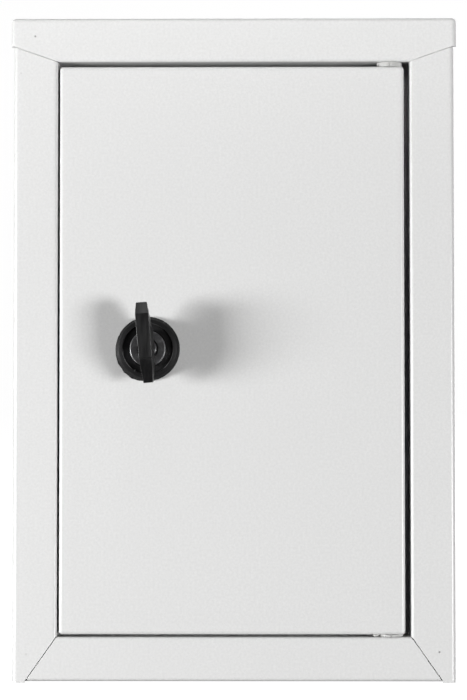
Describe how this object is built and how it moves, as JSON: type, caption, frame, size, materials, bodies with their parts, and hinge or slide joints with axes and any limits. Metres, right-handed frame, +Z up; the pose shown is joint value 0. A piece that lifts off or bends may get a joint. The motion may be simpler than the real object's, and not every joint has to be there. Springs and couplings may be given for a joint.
{
  "type": "wall-mounted electrical enclosure",
  "caption": "Folded sheet-steel wall cabinet with a flush hinged door, quarter-turn lock with removable wing key, mounting plate and cable-entry plate.",
  "frame": {"origin": "centre of the four wall-fixing holes, on the outer face of the back", "axes": "+X to the right as seen from the front, -Y out of the front, +Z up"},
  "size_m": [0.2024, 0.1726, 0.3012],
  "materials": {
    "paint_body": "light grey powder coat, fine orange peel",
    "paint_door": "light grey powder coat, fine orange peel",
    "paint_inner": "light grey powder coat",
    "zinc_steel": "bright zinc plate",
    "dark_spring_steel": "phosphated spring steel",
    "galvanised_plate": "galvanised sheet, faint spangle",
    "copper_flashed": "copper flash on steel",
    "brass_parts": "plain brass",
    "seal_rubber": "matt black rubber",
    "seal_foam": "dark grey foam",
    "nylon_white": "natural nylon",
    "black_housing": "satin black die-cast metal",
    "dark_metal": "dark finish with a bright worn rim",
    "black_key": "moulded black plastic"
  },
  "bodies": {
    "cabinet": {"body_wrap": "paint_body", "top_cap": "paint_body", "bottom_panel": "paint_body", "frame_hinge_pads": "paint_inner", "hinge_pins": "zinc_steel", "hinge_clips": "dark_spring_steel", "mounting_plate": "galvanised_plate", "plate_studs": "zinc_steel", "plate_washers": "zinc_steel", "plate_nuts": "zinc_steel", "body_earth_stud": "copper_flashed", "body_earth_washer": "brass_parts", "body_earth_nut": "brass_parts", "gland_gasket": "seal_rubber", "gland_plate": "paint_body", "gland_studs": "zinc_steel", "gland_nuts": "zinc_steel"},
    "door": {"door_panel": "paint_door", "door_seal": "seal_foam", "door_hinge_pads": "paint_inner", "hinge_bushes": "nylon_white", "door_earth_stud": "copper_flashed", "door_earth_washer": "brass_parts", "door_earth_nut": "brass_parts", "lock_seal": "seal_rubber", "lock_housing": "black_housing", "lock_nut": "zinc_steel"},
    "lock": {"lock_rotor": "dark_metal", "lock_cam": "zinc_steel", "cam_washer": "zinc_steel", "cam_screw": "zinc_steel"},
    "key": {"wing_key": "black_key"}
  },
  "joints": [
    {"name": "door_swing", "type": "hinge", "parent": "cabinet", "child": "door", "pos_m": [0.0711, -0.1442, 0], "axis": [0, 0, 1], "range_deg": [0, 115]},
    {"name": "lock_turn", "type": "hinge", "parent": "door", "child": "lock", "pos_m": [-0.0388, -0.15, 0.0004], "axis": [0, 1, 0], "range_deg": [0, 95]},
    {"name": "key_pull", "type": "slide", "parent": "lock", "child": "key", "axis": [0, -1, 0], "range_m": [0, 0.02]}
  ]
}
